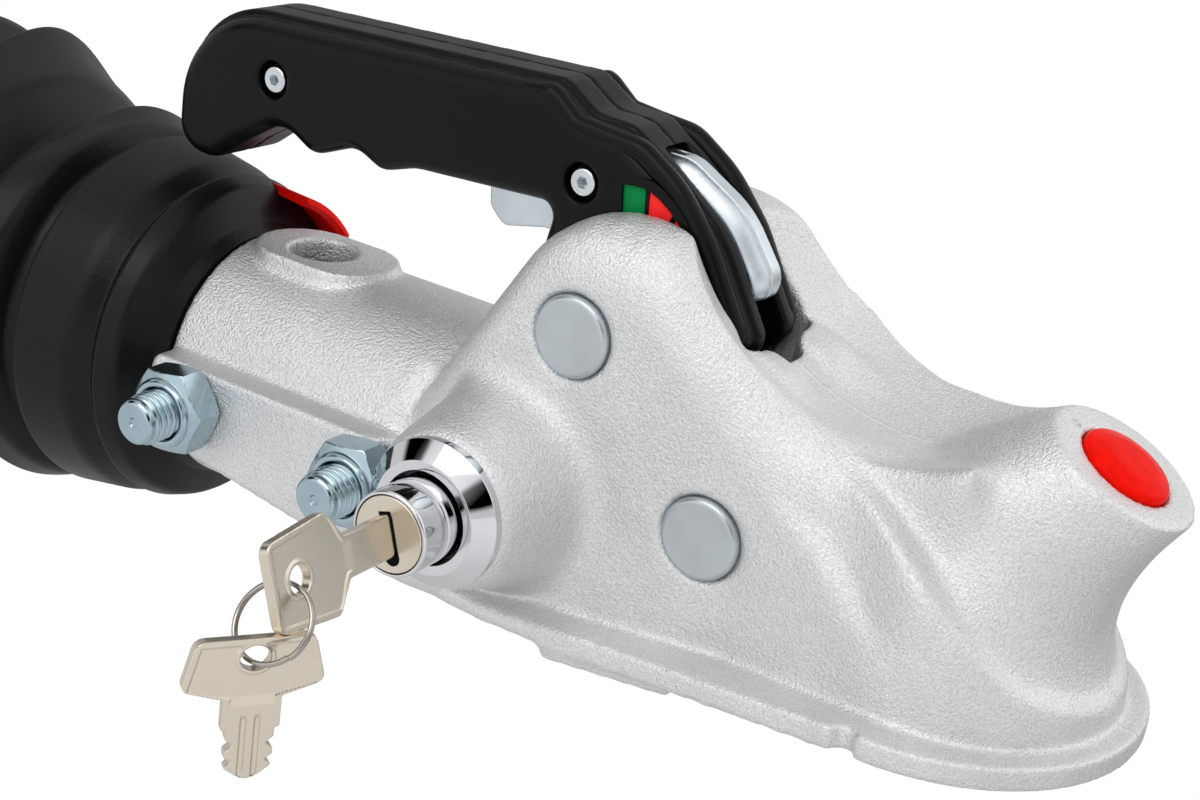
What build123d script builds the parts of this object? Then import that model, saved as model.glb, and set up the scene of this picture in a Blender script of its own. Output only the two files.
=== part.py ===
from build123d import *
import os
from math import cos, hypot, radians, sin

# Trailer coupling head for a 50 mm tow ball, clamped on a round drawbar tube.
# Millimetres. Origin at the ball centre, +X to the nose, +Y to the left, +Z up.

# Fits and clearances
pin_clearance = 0.05
slide_clearance = 0.3
seat_gap = 0.3
tube_fit = 0.1

# Tow ball, cup and rim of the casting
ball_radius = 25.0
cup_clearance = 0.4
cup_radius = ball_radius + cup_clearance
rim_radius = 44.0
rim_bottom = -13.0
rim_thickness = 5.5
keel_bottom = -24.0
keel_x = -92.0
keel_half_width = 35.5
keel_rear_x = -106.0
foot_x = (-76.0, -43.4)
foot_half_width = 37.5
foot_width = 11.0
foot_drop = 3.0
rim_notch_radius = 2.6
rim_notch_x = -1.5

# Neck and nose boss
neck_radius = 34.5
neck_top = 2.0
throat_radius = 27.0
throat_point = (7.0, 22.0)
nose_tilt = 26.0
nose_boss_radius = 16.8
nose_face = (28.2, 46.5)
plug_radius = 10.0
plug_depth = 9.0
plug_crown = 2.2
dome_radius = 34.0

# Cheeks that carry the handle and the jaw
cheek_half_width = 29.5
slot_half_width = 14.5
cheek_foot = (-134.0, -0.5)
cheek_apex = (-82.7, 86.2)
cheek_crown_radius = 28.0
cheek_edge_radius = 7.0
shoulder_knee = (-34.0, 46.3)
shoulder_crest = (-10.0, 37.0)
shoulder_toe = (24.0, 5.5)
shoulder_front = (40.0, -2.5)
saddle_half_width = 25.0
saddle_radius = 58.0
saddle_centre = (-16.0, 95.5)
flank_root_x = -68.0
flank_root_half_width = 24.5
flank_centre_x = 3.0
flank_radius = 35.5

# Pivots, in the side view
handle_pivot = (-83.5, 45.4)
jaw_pivot = (-46.2, 12.3)
handle_slot_radius = 37.5
toe_room_radius = 40.0
toe_room_half_width = 4.0
pin_radius = 7.0
pin_head_radius = 9.1
pin_head_height = 3.6
pin_head_proud = 0.9

# Tube socket, lugs and cross bolts
tube_radius = 25.0
tube_wall = 4.5
tube_rear_x = -344.0
tube_front_x = -121.0
socket_radius = 31.5
socket_rear_x = -192.5
socket_front_x = -104.0
lug_half_width = 37.5
lug_top = 9.3
lug_rear_bottom = -8.0
lug_front_x = -104.0
lug_front_bottom = -22.6
rear_bolt_x = -180.0
bolt_spacing = 53.5
bolt_places = (rear_bolt_x, rear_bolt_x + bolt_spacing)
bolt_radius = 6.0
bolt_hole_radius = 6.3
bolt_tail = 18.1
nut_across_flats = 19.0
nut_height = 8.4
nut_room_radius = 11.9
nut_collar_radius = 8.1
nut_collar_height = 1.7
bolt_head_height = 7.5

# Clamp boss on top of the socket
boss_centre_x = -172.0
boss_length = 40.0
boss_width = 28.0
boss_top = 32.9
boss_hole_x = -173.4
boss_hole_radius = 8.4

# Lock on the right side
lock_from_front_bolt = 28.9
lock_height = 6.4
lock_axis = (rear_bolt_x + bolt_spacing + lock_from_front_bolt, lock_height)
lock_boss_radius = 17.4
lock_boss_root_radius = 24.0
lock_boss_skirt = 28.0
lock_boss_face = 46.0
bezel_radius = 17.0
bezel_front_radius = 14.2
bezel_height = 5.0
bezel_lip = 1.6
barrel_radius = 9.5
barrel_front = 66.9
barrel_rear = 21.0
key_plug_radius = 7.8
key_plug_length = 36.0
lock_bolt_radius = 6.0
lock_bolt_tip = 15.0

# Keys and split ring
key_turn = 18.7
key_thickness = 2.4
key_hole_radius = 3.0
keyway_gap = 0.3
lock_key = {
    "bow_width": 21.6,
    "bow_end_width": 18.2,
    "bow_length": 22.0,
    "neck_width": 9.0,
    "neck_length": 14.5,
    "blade_width": 7.6,
    "blade_length": 17.0,
    "hole_from_end": 7.8,
}
hanging_key = {
    "bow_width": 28.6,
    "bow_end_width": 23.4,
    "bow_length": 14.4,
    "neck_width": 11.6,
    "neck_length": 8.2,
    "blade_width": 9.6,
    "blade_length": 13.0,
    "hole_from_end": 4.6,
}
ring_radius = 8.0
ring_wire_radius = 0.8
ring_lean = 38.0
ring_hang = 1.1
spare_key_hang = 1.0
spare_key_turn = 56.0

# Handle
handle_half_width = 14.0
handle_spine_half_width = 8.0
handle_shoulder = 1.4
handle_edge_radius = 4.4
handle_wall = 3.0
rear_screw = (-182.1, 74.5)
front_screw = (-95.7, 73.0)
screw_places = (rear_screw, front_screw)
screw_radius = 2.0
screw_head_radius = 3.2
screw_head_height = 3.2
screw_recess_radius = 4.4
screw_recess_depth = 4.0
screw_nut_across_flats = 7.0
screw_nut_height = 3.2
screw_boss_radius = 5.6
lever_half_thickness = 2.5
lever_hub_radius = 12.0
lever_toe_bottom = 7.0
lever_toe_width = 11.5
lever_toe_gap = 1.1
catch_half_width = 3.9
catch_wall = 1.2
catch_pocket_half_width = 4.5
window_depth = 2.6
window_rear_x = -87.5
window_split_x = -79.0
window_front_x = -68.5
tile_thickness = 1.7

# Ball jaw
jaw_half_width = 13.5
jaw_hub_radius = 10.5
jaw_cup_gap = 0.35

# Rubber bellows on the drawbar tube: each bell runs from its foot over a shoulder to a rim, as (x, radius)
bellows_wall = 3.0
bellows_front_x = -194.0
bellows_front_radius = 32.5
bellows_rear_x = -336.0
bellows_cuff_length = 12.0
bellows_bells = [
    ((-198.0, 33.5), (-211.0, 43.8), (-228.0, 46.4)),
    ((-234.0, 38.5), (-241.0, 46.5), (-254.0, 50.0)),
    ((-260.0, 42.0), (-266.0, 53.0), (-279.0, 59.0)),
    ((-287.0, 48.0), (-294.0, 57.5), (-307.0, 57.0)),
]
bell_bends = (3.0, 9.0, 2.2)
cuff_radius = tube_radius + tube_fit + bellows_wall
tab_angles = (33.0, 62.0)
tab_start = 9.0
tab_end = 22.5
tab_thickness = 1.6

side_view = Plane.XZ
nose_plane = Plane(
    origin=(nose_face[0], 0, nose_face[1]),
    x_dir=(cos(radians(nose_tilt)), 0, -sin(radians(nose_tilt))),
    z_dir=(sin(radians(nose_tilt)), 0, cos(radians(nose_tilt))),
)


def side_face(points, radii):
    # Face in the side view from corner points and one corner radius each
    return make_face(side_view * FilletPolyline(*points, radius=radii, close=True))


def across(face, half_width):
    # Solid of a side view face, symmetric about the mid-plane
    return extrude(face, amount=half_width, both=True)


def to_right(face, depth):
    # Solid of a side view face from the mid-plane to the right
    return extrude(face, amount=depth, dir=(0, -1, 0))


def cross_rod(point, radius, y_from, y_to):
    # Round bar along Y through a side view point
    length = y_to - y_from
    place = Location((point[0], (y_from + y_to) / 2, point[1]), (90, 0, 0))
    return place * Cylinder(radius, length)


def cross_hex(point, across_flats, y_from, y_to):
    # Hexagonal bar along Y through a side view point
    plane = Plane(origin=(point[0], y_from, point[1]), x_dir=(1, 0, 0), z_dir=(0, 1, 0))
    return extrude(plane * RegularPolygon(across_flats / 2, 6, major_radius=False), amount=y_to - y_from)


def rod_along_x(radius, x_from, x_to):
    return Location(((x_from + x_to) / 2, 0, 0), (0, 90, 0)) * Cylinder(radius, x_to - x_from)


def turned_on_lock(profile):
    # Ring or cone about the lock axis, from (radius, distance to the right of the mid-plane) points
    plane = Plane(origin=(lock_axis[0], 0, lock_axis[1]), x_dir=(1, 0, 0), z_dir=(0, 0, 1))
    outline = Polyline(*[(r, -d) for r, d in profile], close=True)
    return revolve(plane * make_face(outline), Axis((lock_axis[0], 0, lock_axis[1]), (0, 1, 0)))


def flank_outline():
    # Plan of the flanks, which grow out of the cheeks and close round the nose
    nose = Pos(flank_centre_x, 0) * Circle(flank_radius)
    root = Pos(flank_root_x, 0) * Rectangle(0.5, 2 * flank_root_half_width)
    return make_hull((nose + root).edges())


def keel_outline():
    # Plan of the bottom flange
    nose = Circle(rim_radius)
    tail = Pos((keel_rear_x + keel_x) / 2, 0) * Rectangle(keel_x - keel_rear_x, 2 * keel_half_width)
    return make_hull((nose + tail).edges())


def cheek_block():
    outline = side_face(
        [
            (cheek_foot[0], lug_front_bottom),
            cheek_foot,
            cheek_apex,
            shoulder_knee,
            shoulder_crest,
            shoulder_toe,
            shoulder_front,
            (shoulder_front[0], rim_bottom),
            (0, rim_bottom),
            (keel_x, keel_bottom),
        ],
        [0, 0, cheek_crown_radius, 55, 30, 40, 0, 0, 0, 0],
    )
    cheeks = across(outline, cheek_half_width)
    outer = [e for e in cheeks.edges() if abs(e.center().Y) > slot_half_width]
    cheeks = fillet([e for e in outer if e.center().Z > shoulder_toe[1]], cheek_edge_radius)
    cheeks &= Pos(flank_centre_x - 100, 0, 0) * Box(200, 200, 200)
    flanks = across(outline, 60) & extrude(flank_outline(), amount=120, both=True)
    # Web behind the nose, dished between the cheeks
    web_outline = side_face(
        [(-52, 20), (-52, 54), (-31, 44.6), (-14, 42.8), (2, 44.5), (8, 48), (8, 10)],
        [0, 0, 20, 20, 10, 0, 0],
    )
    dish = Pos(saddle_centre[0], 0, saddle_centre[1]) * Sphere(saddle_radius)
    return cheeks + flanks + across(web_outline, saddle_half_width) - dish


def keel_flange():
    # Sloping flange along the bottom edge, level round the nose
    front_x = rim_radius + 2
    top = rim_bottom + rim_thickness
    band = side_face(
        [
            (keel_rear_x, keel_bottom),
            (keel_rear_x, keel_bottom + rim_thickness),
            (keel_x, keel_bottom + rim_thickness),
            (0, top),
            (front_x, top),
            (front_x, rim_bottom),
            (0, rim_bottom),
            (keel_x, keel_bottom),
        ],
        0,
    )
    return across(band, 60) & extrude(keel_outline(), amount=60, both=True)


def keel_height(x):
    # Underside of the sloping flange
    return keel_bottom + (rim_bottom - keel_bottom) * (x - keel_x) / -keel_x


def feet():
    # Low feet under both edges of the flange
    rear, front = foot_x
    outline = side_face(
        [
            (rear, keel_height(rear) + 1),
            (rear, keel_height(rear) - foot_drop),
            (front, keel_height(front) - foot_drop),
            (front, keel_height(front) + 1),
        ],
        [0, 1.5, 1.5, 0],
    )
    return across(outline, foot_half_width) - across(outline, foot_half_width - foot_width)


def nose_and_neck():
    skirt_height = neck_top - rim_bottom
    skirt = Pos(0, 0, (neck_top + rim_bottom) / 2) * Cylinder(neck_radius, skirt_height)
    half_tilt = radians(nose_tilt / 2)
    throat = Plane(
        origin=(throat_point[0], 0, throat_point[1]),
        x_dir=(cos(half_tilt), 0, -sin(half_tilt)),
        z_dir=(sin(half_tilt), 0, cos(half_tilt)),
    )
    sections = [
        Plane.XY.offset(neck_top) * Circle(neck_radius),
        throat * Circle(throat_radius),
        nose_plane * Circle(nose_boss_radius),
    ]
    dome = Sphere(dome_radius) & Pos(0, 0, dome_radius) * Box(200, 200, 2 * dome_radius)
    return skirt + loft(sections) + dome


def socket_and_lugs():
    socket = rod_along_x(socket_radius, socket_rear_x, socket_front_x)
    lug_outline = side_face(
        [
            (socket_rear_x, lug_rear_bottom),
            (socket_rear_x, lug_top),
            (lug_front_x, lug_top),
            (lug_front_x, lug_front_bottom),
            (lug_front_x - 10, lug_front_bottom),
            (rear_bolt_x, rim_bottom),
        ],
        [6, 3, 4, 4, 20, 20],
    )
    lugs = across(lug_outline, lug_half_width)
    pad = Pos(boss_centre_x, 0) * SlotOverall(boss_length, boss_width)
    boss = extrude(pad, amount=boss_top, taper=2)
    return socket + lugs + boss


def lock_boss():
    # Conical boss with a skirt at the cheek, cut away round the front nut
    boss = turned_on_lock(
        [
            (0, slot_half_width),
            (lock_boss_skirt, slot_half_width),
            (lock_boss_skirt, cheek_half_width - 1),
            (lock_boss_root_radius, cheek_half_width + 2),
            (lock_boss_radius, lock_boss_face - 1.5),
            (lock_boss_radius - 1.5, lock_boss_face),
            (0, lock_boss_face),
        ]
    )
    return boss - cross_rod((bolt_places[1], 0), nut_room_radius, -60, -lug_half_width)


def jaw_room():
    # Opening between the cheeks: handle slot, toe room and the jaw's chamber down to the ball cup
    handle_room = cross_rod(handle_pivot, handle_slot_radius, -slot_half_width, slot_half_width)
    chamber = side_face(
        [
            (-111, -40),
            (-111, 20),
            (handle_pivot[0], handle_pivot[1]),
            (-50, 25),
            (-27, 25),
            (-10, 0),
            (-10, -40),
        ],
        [0, 6, 0, 0, 6, 0, 0],
    )
    chute = side_face(
        [
            (handle_pivot[0] - handle_slot_radius, handle_pivot[1]),
            (handle_pivot[0] - handle_slot_radius, 100),
            (handle_pivot[0] + handle_slot_radius, 100),
            (handle_pivot[0] + handle_slot_radius, handle_pivot[1]),
        ],
        0,
    )
    toe_sweep = cross_rod(handle_pivot, toe_room_radius, -toe_room_half_width, toe_room_half_width)
    behind_pivot = Location((handle_pivot[0] - 20, 0, handle_pivot[1] - 25)) * Box(60, 60, 50)
    toe_room = toe_sweep & behind_pivot
    return handle_room + across(chamber, slot_half_width) + across(chute, slot_half_width) + toe_room


def pin_seat(point):
    # Bore through both cheeks with a flat seat for each pin head
    depth = cheek_half_width + pin_head_proud - pin_head_height
    bore = cross_rod(point, pin_radius + pin_clearance, -60, 60)
    head_room = pin_head_radius + slide_clearance
    right = cross_rod(point, head_room, -60, -depth)
    left = cross_rod(point, head_room, depth, 60)
    return bore + right + left


def coupling_body():
    body = cheek_block() + keel_flange() + feet() + nose_and_neck() + socket_and_lugs() + lock_boss()
    for side in (-1, 1):
        notch = Cylinder(rim_notch_radius, 3 * rim_thickness)
        body -= Pos(rim_notch_x, side * rim_radius, rim_bottom) * notch
    body -= jaw_room()
    body -= Sphere(cup_radius)
    body -= Pos(0, 0, rim_bottom / 2 - 5) * Cylinder(cup_radius, -rim_bottom + 10)
    body -= rod_along_x(tube_radius + tube_fit, socket_rear_x - 1, tube_front_x)
    body -= pin_seat(handle_pivot)
    body -= pin_seat(jaw_pivot)
    for bolt_x in bolt_places:
        body -= cross_rod((bolt_x, 0), bolt_hole_radius, -60, 60)
    body -= Pos(boss_hole_x, 0, boss_top) * Cylinder(boss_hole_radius, 2 * (boss_top - 10))
    body -= cross_rod(lock_axis, barrel_radius + slide_clearance, -60, -slot_half_width + 1)
    body -= nose_plane * Pos(0, 0, -plug_depth / 2) * Cylinder(plug_radius + seat_gap / 2, plug_depth)
    return body


def nose_plug():
    # Pressed-in cap with a low crown
    stem = Pos(0, 0, -plug_depth / 2) * Cylinder(plug_radius, plug_depth)
    sphere_radius = (plug_radius**2 + plug_crown**2) / (2 * plug_crown)
    crown = Pos(0, 0, plug_crown - sphere_radius) * Sphere(sphere_radius)
    cap = crown & Pos(0, 0, plug_crown) * Box(4 * plug_radius, 4 * plug_radius, 2 * plug_crown)
    return nose_plane * (stem + cap)


def drawbar_tube():
    tube = rod_along_x(tube_radius, tube_rear_x, tube_front_x)
    tube -= rod_along_x(tube_radius - tube_wall, tube_rear_x - 1, tube_front_x + 1)
    for bolt_x in bolt_places:
        tube -= cross_rod((bolt_x, 0), bolt_hole_radius, -60, 60)
    return tube - Pos(boss_hole_x, 0, tube_radius) * Cylinder(boss_hole_radius + seat_gap, tube_radius)


def cross_bolt(bolt_x):
    tail = -lug_half_width - bolt_tail
    shank = cross_rod((bolt_x, 0), bolt_radius, tail, lug_half_width)
    shank = chamfer(shank.edges().group_by(Axis.Y)[0], 1.2)
    return shank + cross_hex((bolt_x, 0), nut_across_flats, lug_half_width, lug_half_width + bolt_head_height)


def cross_nut(bolt_x):
    hexagon = cross_hex((bolt_x, 0), nut_across_flats, -lug_half_width - nut_height, -lug_half_width)
    collar_end = -lug_half_width - nut_height - nut_collar_height
    collar = cross_rod((bolt_x, 0), nut_collar_radius, collar_end, -lug_half_width)
    return hexagon + collar - cross_rod((bolt_x, 0), bolt_radius + pin_clearance, -80, 0)


def pivot_pin(point):
    head_face = cheek_half_width + pin_head_proud
    seat = head_face - pin_head_height
    pin = cross_rod(point, pin_radius, -seat, seat)
    for side in (-1, 1):
        low, high = sorted((side * seat, side * head_face))
        head = cross_rod(point, pin_head_radius, low, high)
        outer = head.edges().group_by(Axis.Y)[0 if side < 0 else -1]
        pin += fillet(outer, 1.0)
    return pin


def handle_points(drop):
    # Side outline of the handle, its top and front edges lowered by drop
    return [
        ((-213.0 + drop, 50.6), 8),
        ((-213.0 + drop, 87.4 - drop), 24),
        ((-106.0, 92.6 - drop), 5),
        ((-97.5, 87.2 - drop), 6),
        ((-88.0, 86.8 - drop), 6),
        ((-79.0, 81.4 - drop), 20),
        ((-62.5 - 0.7 * drop, 69.8 - 0.7 * drop), 30),
        ((-50.0 - drop, 49.5), 4),
        ((-57.0, 37.0), 6),
        ((-71.0, 28.5), 8),
        ((-97.0, 30.0), 10),
        ((-104.5, 56.0), 10),
        ((-102.5, 66.0), 3),
        ((-141.0, 63.6), 15),
        ((-150.0, 60.6), 5),
        ((-158.0, 64.2), 8),
        ((-170.0, 59.2), 5),
        ((-180.0, 64.5), 9),
        ((-193.0, 56.2), 8),
        ((-200.0, 50.6), 6),
    ]


def handle_face(drop):
    corners = handle_points(drop)
    return side_face([p for p, r in corners], [r for p, r in corners])


def lever_blank(grow, half_thickness):
    # Steel lever inside the handle: spine, hub on the pivot pin and a toe that the lock bolt can block
    spine = side_face(
        [
            (-196 - grow, 68 - grow),
            (-196 - grow, 80 + grow),
            (-112, 85 + grow),
            (-90 + grow, 77 + grow),
            (-72 + grow, 50),
            (-94 - grow, 42),
            (-104 - grow, 68 - grow),
        ],
        [5, 5, 10, 6, 4, 4, 12],
    )
    toe_end = lever_toe_bottom - grow
    toe_rear = lock_axis[0] + lock_bolt_radius + lever_toe_gap - grow
    toe_front = toe_rear + lever_toe_width + 2 * grow
    toe = side_face(
        [
            (toe_rear - 1.5, handle_pivot[1]),
            (toe_front + 4, handle_pivot[1]),
            (toe_front, toe_end),
            (toe_rear, toe_end),
        ],
        [0, 0, 3, 3],
    )
    hub = cross_rod(handle_pivot, lever_hub_radius + grow, -half_thickness, half_thickness)
    return across(spine, half_thickness) + across(toe, half_thickness) + hub


def lever_plate():
    plate = lever_blank(0, lever_half_thickness)
    plate -= cross_rod(handle_pivot, pin_radius + pin_clearance, -20, 20)
    for point in screw_places:
        plate -= cross_rod(point, screw_radius + pin_clearance, -20, 20)
    return plate


catch_corners = [
    ((-125.5, 66.0), 2),
    ((-124.6, 58.4), 3),
    ((-120.5, 54.6), 3),
    ((-109.6, 57.2), 6),
    ((-103.5, 57.4), 4),
    ((-99.0, 65.0), 6),
    ((-89.0, 67.0), 6),
    ((-80.0, 71.5), 8),
    ((-69.0, 67.5), 12),
    ((-60.5, 59.0), 8),
    ((-58.0, 55.0), 1.2),
    ((-53.4, 56.8), 2.2),
    ((-52.2, 61.6), 6),
    ((-61.5, 73.8), 24),
    ((-76.0, 81.7), 10),
    ((-90.0, 82.0), 8),
    ((-103.0, 76.5), 8),
    ((-108.0, 66.0), 3),
]


def release_catch():
    # Folded steel channel: finger plate below, hinge in the middle, strap with a hooked end in front
    face = side_face([p for p, r in catch_corners], [r for p, r in catch_corners])
    channel = across(face, catch_half_width)
    inside = catch_half_width - catch_wall
    middle = Location((-91.0, 0, 70.0)) * Box(24, 2 * catch_half_width, 80)
    room = across(offset(face, -catch_wall), inside) + (across(face, inside) & middle)
    below_strap = side_face([(-79, 40), (-79, 72), (-69, 68), (-58, 56), (-57, 40)], 0)
    above_trigger = side_face([(-130, 62), (-130, 90), (-100, 90), (-100, 62)], 0)
    room += across(face, inside) & across(below_strap, 20)
    room += across(face, inside) & across(above_trigger, 20)
    channel -= room
    return channel - cross_rod(front_screw, screw_radius + pin_clearance, -20, 20)


def handle_shell():
    # Right half of the handle, split at the mid-plane
    spine = to_right(handle_face(0), handle_spine_half_width)
    side = to_right(handle_face(handle_shoulder), handle_half_width)
    side = fillet(side.edges().group_by(Axis.Y)[0], handle_edge_radius)
    shell = spine + side
    grip_room = side_face(
        [(-207, 66), (-207, 83), (-108, 87.5), (-108, 69), (-150, 67.5)],
        [3, 10, 4, 4, 10],
    )
    shell -= to_right(grip_room, handle_half_width - handle_wall)
    shell += cross_rod(rear_screw, screw_boss_radius, -handle_half_width + 1, -lever_half_thickness)
    shell -= lever_blank(seat_gap, lever_half_thickness + seat_gap / 2)
    catch_room = side_face(
        [
            (-129, 71.5),
            (-129, 46),
            (-102, 46),
            (-96, 59),
            (-84, 62),
            (-74, 62),
            (-62, 50),
            (-60, 44),
            (-30, 44),
            (-30, 90),
            (-78, 90),
            (-78, 82.6),
            (-92, 83.6),
            (-106, 78),
            (-112, 71.5),
        ],
        0,
    )
    shell -= to_right(catch_room, catch_pocket_half_width)
    shell -= cross_rod(handle_pivot, pin_radius + pin_clearance, -20, 1)
    for point in screw_places:
        shell -= cross_rod(point, screw_radius + pin_clearance, -20, 1)
        shell -= cross_rod(point, screw_recess_radius, -20, -handle_half_width + screw_recess_depth)
    return shell


def window_face():
    return side_face(
        [
            (window_rear_x, 60),
            (window_rear_x, 77),
            (window_split_x + 1, 77.2),
            (window_split_x + 6, 74.6),
            (window_front_x, 66),
            (window_front_x, 60),
        ],
        [0, 2, 3, 3, 2, 0],
    )


def indicator_tile(x_from, x_to):
    # Coloured tile lying in the window of the right shell
    strip = Location(((x_from + x_to) / 2, 0, 68)) * Box(x_to - x_from, 60, 40)
    inner = offset(window_face(), -seat_gap / 3)
    floor_y = handle_half_width - window_depth
    tile = Location((0, -floor_y, 0)) * to_right(inner, tile_thickness)
    return tile & strip


def handle_screw(point):
    seat = -handle_half_width + screw_recess_depth
    tail = handle_half_width - screw_recess_depth + screw_nut_height
    shank = cross_rod(point, screw_radius, seat, tail)
    head = cross_rod(point, screw_head_radius, seat - screw_head_height, seat)
    head = fillet(head.edges().group_by(Axis.Y)[0], 0.6)
    socket = cross_hex(point, 2.5, seat - screw_head_height - 1, seat - 1)
    return shank + head - socket


def handle_nut(point):
    seat = handle_half_width - screw_recess_depth
    nut = cross_hex(point, screw_nut_across_flats, seat, seat + screw_nut_height)
    return nut - cross_rod(point, screw_radius + pin_clearance, 0, 30)


def ball_jaw():
    # Claw that closes under the ball from behind, hung on the jaw pin
    hub = side_view * Pos(*jaw_pivot) * Circle(jaw_hub_radius)
    claw = side_face(
        [
            (jaw_pivot[0] - jaw_hub_radius, jaw_pivot[1]),
            (-58, -6),
            (-50, -20),
            (-34, -25),
            (-17, -22),
            (-17, 0),
            (-34, 16),
            jaw_pivot,
        ],
        [0, 8, 10, 10, 3, 0, 6, 0],
    )
    jaw = across(hub + claw, jaw_half_width) - Sphere(ball_radius + jaw_cup_gap)
    return jaw - cross_rod(jaw_pivot, pin_radius + pin_clearance, -30, 30)


def lock_bezel():
    front = lock_boss_face + bezel_height
    inner = barrel_radius + slide_clearance + 0.6
    return turned_on_lock(
        [
            (inner, lock_boss_face),
            (bezel_radius, lock_boss_face),
            (bezel_radius, lock_boss_face + bezel_lip),
            (bezel_front_radius, front),
            (bezel_front_radius - 1.2, front),
            (bezel_front_radius - 2.0, front - 1.5),
            (inner, front - 1.5),
        ]
    )


def lock_barrel():
    barrel = cross_rod(lock_axis, barrel_radius, -barrel_front, -barrel_rear)
    barrel = fillet(barrel.edges().group_by(Axis.Y)[0], 0.8)
    plug_rear = -barrel_front + key_plug_length
    return barrel - cross_rod(lock_axis, key_plug_radius + pin_clearance, -barrel_front - 1, plug_rear)


def lock_plug():
    plug = cross_rod(lock_axis, key_plug_radius, -barrel_front, -barrel_front + key_plug_length)
    return plug - key_plane(lock_point) * keyway()


def lock_bolt():
    return cross_rod(lock_axis, lock_bolt_radius, -barrel_rear, -lock_bolt_tip)


# Keys lie in a plane with x along the key away from the blade and y across the bow, zero at the neck's foot
lock_point = (lock_axis[0], -barrel_front, lock_axis[1])


def key_plane(origin):
    turn = radians(key_turn)
    return Plane(origin=origin, x_dir=(0, -1, 0), z_dir=(cos(turn), 0, sin(turn)))


def keyway():
    depth = lock_key["blade_length"] + 1
    width = lock_key["blade_width"] + 2 * keyway_gap
    return Pos(-depth / 2, 0, 0) * Box(depth, width, key_thickness + 2 * keyway_gap)


def hole_place(sizes):
    return sizes["neck_length"] + sizes["bow_length"] - sizes["hole_from_end"]


def key(sizes):
    # Flat key: blade notched on both edges, neck, and a bow that narrows to its outer end
    neck = sizes["neck_width"] / 2
    bow = sizes["bow_width"] / 2
    bow_end = sizes["bow_end_width"] / 2
    bow_start = sizes["neck_length"]
    end = bow_start + sizes["bow_length"]
    shoulder = 0.2 * sizes["bow_length"]
    upper = [(0, neck), (bow_start, neck), (bow_start + shoulder, bow), (end, bow_end)]
    lower = [(x, -y) for x, y in reversed(upper)]
    radii = [0.6, 0.8, 2.2, 2.6]
    outline = FilletPolyline(*upper, *lower, radius=radii + radii[::-1], close=True)
    half = sizes["blade_width"] / 2
    tip = -sizes["blade_length"]
    notch = 0.32 * half
    edge = [(1, half), (0.18 * tip, half), (0.3 * tip, half - notch), (0.42 * tip, half), (0.54 * tip, half)]
    edge += [(0.64 * tip, half - notch), (0.76 * tip, half), (tip, 0.25 * half)]
    far_edge = [(x, -y) for x, y in reversed(edge)]
    blade = FilletPolyline(*edge, *far_edge, radius=0.4, close=True)
    plate = extrude(make_face(outline), amount=key_thickness / 2, both=True)
    plate += extrude(make_face(blade), amount=key_thickness / 2, both=True)
    return plate - Pos(hole_place(sizes), 0, 0) * Cylinder(key_hole_radius, 4 * key_thickness)


# The ring hangs in the key's hole and leans out, the second key hangs at its lowest point
lean = radians(ring_lean)
ring_down = (0, -sin(lean), -cos(lean))
key_hole = (lock_axis[0], -barrel_front - hole_place(lock_key), lock_axis[1])
ring_top = tuple(p + ring_hang * d for p, d in zip(key_hole, ring_down))
ring_centre = tuple(p + ring_radius * d for p, d in zip(ring_top, ring_down))
ring_bottom = tuple(p + ring_radius * d for p, d in zip(ring_centre, ring_down))


def key_ring():
    plane = Plane(origin=ring_centre, x_dir=(1, 0, 0), z_dir=(0, cos(lean), -sin(lean)))
    return plane * Torus(ring_radius, ring_wire_radius)


def spare_key():
    # Hangs on the ring by its bow, blade down
    turn = radians(spare_key_turn)
    foot_z = ring_bottom[2] - spare_key_hang - hole_place(hanging_key)
    plane = Plane(
        origin=(ring_bottom[0], ring_bottom[1], foot_z),
        x_dir=(0, 0, 1),
        z_dir=(sin(turn), -cos(turn), 0),
    )
    return plane * key(hanging_key)


def bellows_wall_line(inset):
    # Half section of the bellows skin from the front lip to the rear cuff, with a radius for each bend
    line = []
    for bell in bellows_bells:
        for (x, radius), bend in zip(bell, bell_bends):
            line.append(((x, radius - inset), bend))
    line.append(((bellows_rear_x + bellows_cuff_length, cuff_radius - inset), 4))
    return line


def rubber_bellows():
    tube_seat = tube_radius + tube_fit
    outer = bellows_wall_line(0)
    inner = [((x, max(r, tube_seat)), bend) for (x, r), bend in bellows_wall_line(bellows_wall)]
    corners = [((bellows_front_x, tube_seat), 0), ((bellows_front_x, bellows_front_radius), 1)]
    corners += outer
    corners += [((bellows_rear_x, cuff_radius), 1), ((bellows_rear_x, tube_seat), 0)]
    corners += reversed(inner)
    section = side_face([p for p, r in corners], [r for p, r in corners])
    return revolve(section, Axis.X)


def red_tab():
    # Short red tongue lying on the front flank of the first bell and reaching past its shoulder
    (foot_x, foot_radius), (crest_x, crest_radius), _ = bellows_bells[0]
    run, rise = crest_x - foot_x, crest_radius - foot_radius
    length = hypot(run, rise)
    along = (run / length, rise / length)
    outward = (along[1], -along[0])
    corners = []
    for reach, lift in (
        (tab_start, seat_gap),
        (tab_end, seat_gap),
        (tab_end, seat_gap + tab_thickness),
        (tab_start, seat_gap + tab_thickness),
    ):
        x = foot_x + reach * along[0] + lift * outward[0]
        z = foot_radius + reach * along[1] + lift * outward[1]
        corners.append((x, z))
    low, high = tab_angles
    strip = revolve(side_face(corners, 0), Axis.X, revolution_arc=high - low)
    return Rot(X=low - 90) * strip


def save(name, solid):
    export_step(solid, f"parts/{name}.step")


def group(solids):
    return Compound(children=solids)


os.makedirs("parts", exist_ok=True)

right_shell = handle_shell()
left_shell = mirror(right_shell, about=Plane.XZ)
floor_y = handle_half_width - window_depth
right_shell -= Location((0, -floor_y, 0)) * to_right(window_face(), handle_half_width)

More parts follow.
